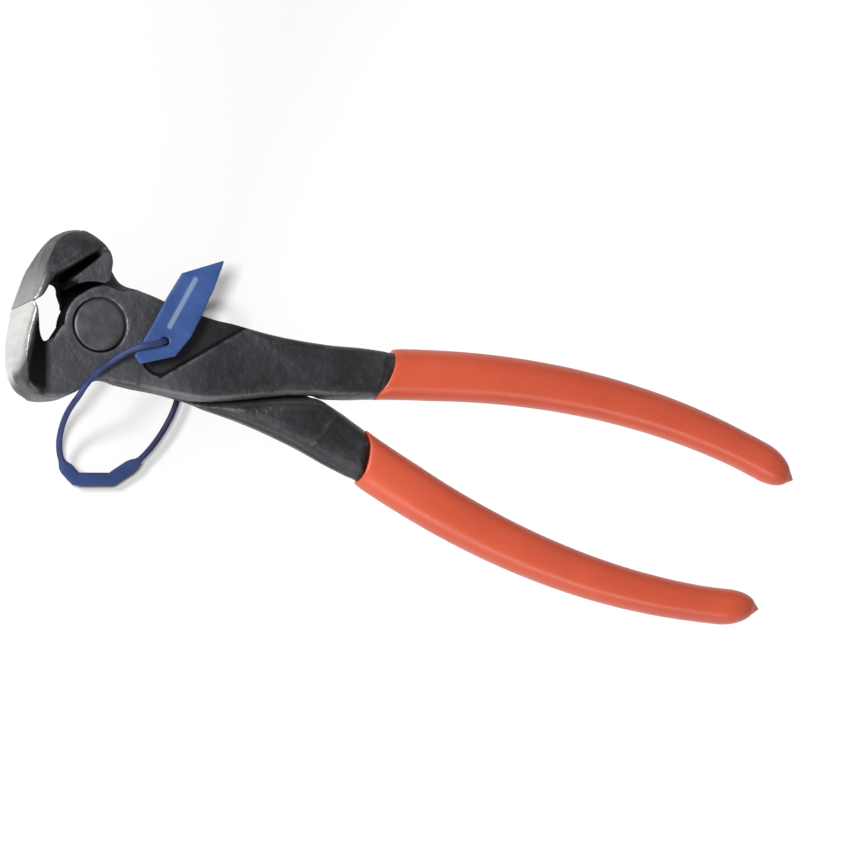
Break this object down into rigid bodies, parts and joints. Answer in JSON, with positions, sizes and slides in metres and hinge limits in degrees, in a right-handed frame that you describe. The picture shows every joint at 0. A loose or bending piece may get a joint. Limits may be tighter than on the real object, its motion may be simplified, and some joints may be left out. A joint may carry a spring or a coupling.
{
  "type": "end-cutting nippers",
  "caption": "Closed end-cutting nippers with a lapped rivet joint, wide ground jaws, curved dipped grips and a plastic tag hanging on a loop strap.",
  "frame": {"origin": "on the rivet axis, at the flush rear face of the joint", "axes": "+X from the jaws towards the handles, +Y across the handles towards the front lever's handle, +Z along the rivet towards the front lever"},
  "size_m": [0.1996, 0.0632, 0.0238],
  "materials": {
    "forged_steel": "black oxide on forged steel, ground bright at the jaw fronts",
    "rivet_steel": "black oxide, flush ground",
    "dipped_grip": "satin dipped soft plastic",
    "tag_plastic": "satin moulded plastic",
    "strap_plastic": "satin moulded plastic"
  },
  "bodies": {
    "front": {"front_lever": "forged_steel", "pivot_rivet": "rivet_steel", "front_grip": "dipped_grip", "tag_plate": "tag_plastic", "tag_strap": "strap_plastic"},
    "rear": {"rear_lever": "forged_steel", "rear_grip": "dipped_grip"}
  },
  "joints": [
    {"name": "pivot", "type": "hinge", "parent": "front", "child": "rear", "pos_m": [0, 0, 0], "axis": [0, 0, -1], "range_deg": [0, 20]}
  ]
}
